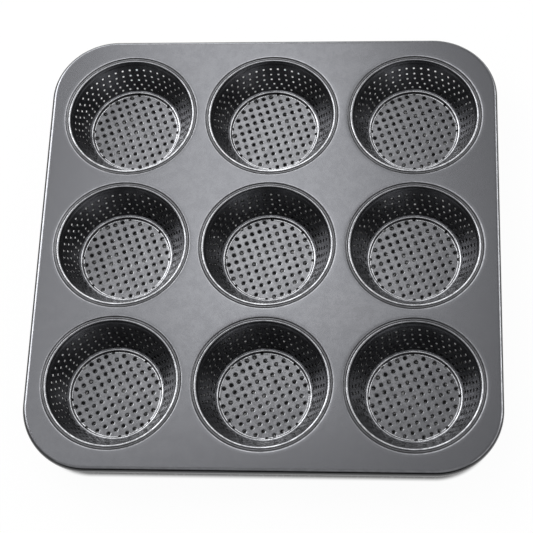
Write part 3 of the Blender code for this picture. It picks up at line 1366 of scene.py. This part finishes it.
@dataclass
class Studio:
    """Pale floor, soft lamps, a surround dark on one side and the photograph's camera."""

    plan: PanPlan
    floor_side: float = 6.0
    floor_drop: float = 0.0001
    floor_colour: Tone = (0.86, 0.86, 0.86)
    surround_colour: Tone = (0.66, 0.66, 0.665)
    near_colour: Tone = (0.01, 0.01, 0.01)
    near_heights: Pair = (-0.85, -0.60)
    # Painted shade under each cup, set off to the right and front, with specks of painted light
    # in it.
    shade_colour: Tone = (0.015, 0.015, 0.015)
    painted_light_speck_colour: Tone = (0.24, 0.24, 0.24)
    speck_scale: float = 520.0
    shade_specks: Pair = (0.50, 0.66)
    shade_radius: float = 0.0315
    shade_edge: float = 0.001
    shade_offset: Pair = (0.0060, -0.0030)
    rim_band: Pair = (-0.0062, -0.0022)
    # Painted shadow on the floor under the pan's front edge and front corners.
    front_shade: float = 0.85
    front_strip: Pair = (-0.118, -0.100)
    near_glow: float = 0.96
    far_band: Pair = (0.02, 0.15)
    # Painted light: specks of the floor under the pan glow, brighter towards the back.
    under_glow: float = 0.50
    glow_specks: Pair = (0.45, 0.68)
    glow_depth: Pair = (-0.060, 0.120)
    glow_front: float = 0.35
    camera_place: tuple[float, float, float] = (0.076702, -0.393765, 0.888274)
    camera_turn: tuple[float, float, float] = (2.726357800, 0.027409602, -0.109041857)
    focal_length: float = 112.972
    lamps: tuple[SoftLamp, ...] = (
        SoftLamp("window_lamp", -9.5, 60.5, 1.3, 0.33, 0.60, 1.54),
        SoftLamp("high_lamp", -60.3, 68.9, 1.3, 0.83, 0.30, 0.70),
        SoftLamp("left_lamp", -60.0, 36.0, 1.5, 1.0, 0.7, 12.5),
        SoftLamp("right_lamp", 68.0, 31.0, 1.5, 0.8, 0.6, 3.8),
        SoftLamp("back_lamp", -22.0, 27.0, 1.5, 1.0, 0.5, 4.8),
    )

    def cup_shade(
        self, wiring: Wiring, along: dict[str, bpy.types.NodeSocket]
    ) -> bpy.types.NodeSocket:
        """Mask of the painted shade patch on the floor under each cup, set off to the right and
        front.

        Args:
            wiring: Wiring of the floor's material.
            along: The place on the floor, by axis.

        Returns:
            The mask, 1 in a patch.
        """
        squares, insides = [], []
        grid = (("X", self.plan.pitch_x, len(Column)), ("Y", self.plan.pitch_y, len(Row)))
        for (axis, pitch, count), offset in zip(grid, self.shade_offset):
            share = wiring.maths("MULTIPLY_ADD", along[axis], 1 / pitch, 0.5 - offset / pitch)
            share = wiring.maths("SUBTRACT", wiring.maths("FRACT", share), 0.5)
            reach = wiring.maths("MULTIPLY", share, pitch)
            squares.append(wiring.maths("MULTIPLY", reach, reach))
            far = wiring.maths("ABSOLUTE", along[axis])
            insides.append(wiring.maths("LESS_THAN", far, count * pitch / 2))
        radius = wiring.maths("SQRT", wiring.maths("ADD", *squares))
        edge = self.shade_radius + self.shade_edge
        disc = wiring.span(radius, self.shade_radius, edge, 1.0, 0.0)
        return wiring.maths("MULTIPLY", disc, wiring.maths("MULTIPLY", *insides))

    def outline_distance(
        self, wiring: Wiring, along: dict[str, bpy.types.NodeSocket]
    ) -> bpy.types.NodeSocket:
        """How far a place on the floor lies outside the pan's rounded plan.

        Args:
            wiring: Wiring of the floor's material.
            along: The place on the floor, by axis.

        Returns:
            The distance, below zero under the pan.
        """
        squares = []
        for axis, run in zip("XY", self.plan.runs()):
            over = wiring.maths("SUBTRACT", wiring.maths("ABSOLUTE", along[axis]), run)
            over = wiring.maths("MAXIMUM", over, 0.0)
            squares.append(wiring.maths("MULTIPLY", over, over))
        length = wiring.maths("SQRT", wiring.maths("ADD", *squares))
        return wiring.maths("SUBTRACT", length, self.plan.corner_radius)

    def floor_material(self) -> bpy.types.Material:
        """Build the floor: matt white, with painted shade under the cups, specked with painted
        light, and a painted shadow under the front edge.

        To the camera and to glossy rays its white is plain, as the backdrop's, and it fades
        towards the pan's outline. Under the pan it glows in specks, brighter towards the back,
        as painted light.

        Returns:
            The floor's material, see-through from below.
        """
        material, wiring, shader, place = start_material("studio_white", self.floor_colour)
        shader.inputs["Roughness"].default_value = 1.0
        shader.inputs["Specular IOR Level"].default_value = 0.0
        split = wiring.add("ShaderNodeSeparateXYZ")
        wiring.link(place, split.inputs[0])
        along = {"X": split.outputs["X"], "Y": split.outputs["Y"]}
        distance = self.outline_distance(wiring, along)
        # Painted shadow under the pan's front edge.
        front = wiring.maths(
            "MULTIPLY",
            wiring.span(distance, *self.rim_band, self.front_shade, 0.0),
            wiring.span(along["Y"], *self.front_strip, 1.0, 0.0),
        )
        # Painted shade under the cups and painted shadow under the front edge, as one mask.
        shade = wiring.maths("MAXIMUM", self.cup_shade(wiring, along), front)
        speck = wiring.noise(place, self.speck_scale)
        specked = wiring.span(speck, *self.shade_specks, 0.0, 1.0)
        # Painted shade, lightened in specks by painted light.
        dark = wiring.mix(self.shade_colour, self.painted_light_speck_colour, specked)
        wiring.link(wiring.mix(self.floor_colour, dark, shade), shader.inputs["Base Color"])

        near = wiring.span(distance, *self.rim_band, 0.0, self.near_glow)
        # Painted light: glowing specks under the pan, brighter towards the back.
        gleam = wiring.maths(
            "MULTIPLY",
            wiring.span(speck, *self.glow_specks, 0.0, self.under_glow),
            wiring.span(along["Y"], *self.glow_depth, self.glow_front, 1.0),
        )
        near = wiring.maths("MAXIMUM", near, gleam)
        far = wiring.span(distance, *self.far_band, 0.0, 1.0 - self.near_glow)
        glow = wiring.maths("ADD", near, far)
        glow = wiring.maths("MULTIPLY", glow, wiring.maths("SUBTRACT", 1.0, shade))
        rays = wiring.add("ShaderNodeLightPath").outputs
        seen = wiring.maths("MAXIMUM", rays["Is Camera Ray"], rays["Is Glossy Ray"])
        seen = wiring.maths("MAXIMUM", seen, rays["Is Transmission Ray"])
        white = wiring.add("ShaderNodeEmission").outputs["Emission"]
        clear = wiring.add("ShaderNodeBsdfTransparent").outputs["BSDF"]
        below = wiring.add("ShaderNodeNewGeometry").outputs["Backfacing"]
        last = shader.outputs["BSDF"]
        for share, other in ((wiring.maths("MULTIPLY", glow, seen), white), (below, clear)):
            blend = wiring.add("ShaderNodeMixShader")
            for socket, source in zip(blend.inputs, (share, last, other)):
                wiring.link(source, socket)
            last = blend.outputs["Shader"]
        wiring.link(last, material.node_tree.nodes["Material Output"].inputs["Surface"])
        return material

    def build_floor(self) -> bpy.types.Object:
        """Lay the floor just under the cups.

        Returns:
            The floor.
        """
        clear_selection()
        bpy.ops.mesh.primitive_plane_add(size=self.floor_side, location=(0.0, 0.0, 0.0))
        floor = rename(bpy.context.active_object, "studio_floor")
        floor.data.transform(Matrix.Translation((0.0, 0.0, -self.floor_drop)))
        floor.data.materials.append(self.floor_material())
        return floor

    def build_world(self) -> None:
        """Surround the scene with one pale tone that darkens on the camera's side."""
        world = bpy.data.worlds.new("studio_surround")
        world.use_nodes = True
        wiring = Wiring(world.node_tree)
        background = world.node_tree.nodes["Background"]
        background.inputs["Strength"].default_value = 1.0
        split = wiring.add("ShaderNodeSeparateXYZ")
        wiring.link(wiring.add("ShaderNodeTexCoord").outputs["Generated"], split.inputs[0])
        share = wiring.span(split.outputs["Y"], *self.near_heights, 0.0, 1.0)
        tone = wiring.mix(self.near_colour, self.surround_colour, share)
        wiring.link(tone, background.inputs["Color"])
        bpy.context.scene.world = world

    def build_camera(self) -> bpy.types.Object:
        """Set the camera where the photograph was taken from.

        Returns:
            The camera's object.
        """
        lens = bpy.data.cameras.new("photo_camera")
        lens.lens = self.focal_length
        lens.sensor_width = 36.0
        lens.clip_start = 0.01
        camera = bpy.data.objects.new("photo_camera", lens)
        turn = Vector(self.camera_turn)
        seen = Matrix.Rotation(turn.length, 3, turn.normalized())
        look = seen.transposed() @ Matrix(((1, 0, 0), (0, -1, 0), (0, 0, -1)))
        camera.matrix_world = Matrix.Translation(self.camera_place) @ look.to_4x4()
        bpy.context.scene.collection.objects.link(camera)
        bpy.context.scene.camera = camera
        return camera

    def build(self) -> None:
        """Set up the floor, the lamps, the surround, the camera and plain colour."""
        self.build_floor()
        self.build_world()
        for lamp in self.lamps:
            lamp.build(Vector((0.0, 0.0, self.plan.top)))
        self.build_camera()
        bpy.context.scene.view_settings.view_transform = "Standard"


# ---------------------------------------------------------------- the whole pan


def report(piece: bpy.types.Object) -> None:
    """Report a finished piece and its count of triangles."""
    count = sum(len(face.vertices) - 2 for face in piece.data.polygons)
    LOG.info("%s: %d triangles", piece.name, count)


def main() -> None:
    """Build and dress the pan and set up the studio."""
    logging.basicConfig(level=logging.INFO, format="%(name)s: %(message)s")
    plan = PanPlan()
    groups = FinishGroups()
    plate_coat = CoatingFinish("satin_coat").material(groups)
    cup_coat = CoatingFinish(
        "satin_coat_cups",
        tone=(0.158, 0.160, 0.168),
        deep_tone=(0.108, 0.109, 0.115),
        grain_depth=0.000017,
        patch=0.004,
    ).material(groups)
    steel = WireFinish().material(groups)

    plate_maker = TopPlate(plan)
    plate = plate_maker.build()
    plate_maker.dress(plate, plate_coat)
    report(plate)

    wire_maker = RimWire(plan)
    wire = wire_maker.build()
    wire_maker.dress(wire, steel)
    report(wire)

    cup_maker = PerforatedCup(plan)
    cups = cup_maker.build_all()
    cup_maker.dress(cups, cup_coat)
    for cup in cups.values():
        report(cup)

    Studio(plan).build()
    clear_selection()


if __name__ == "__main__":
    main()
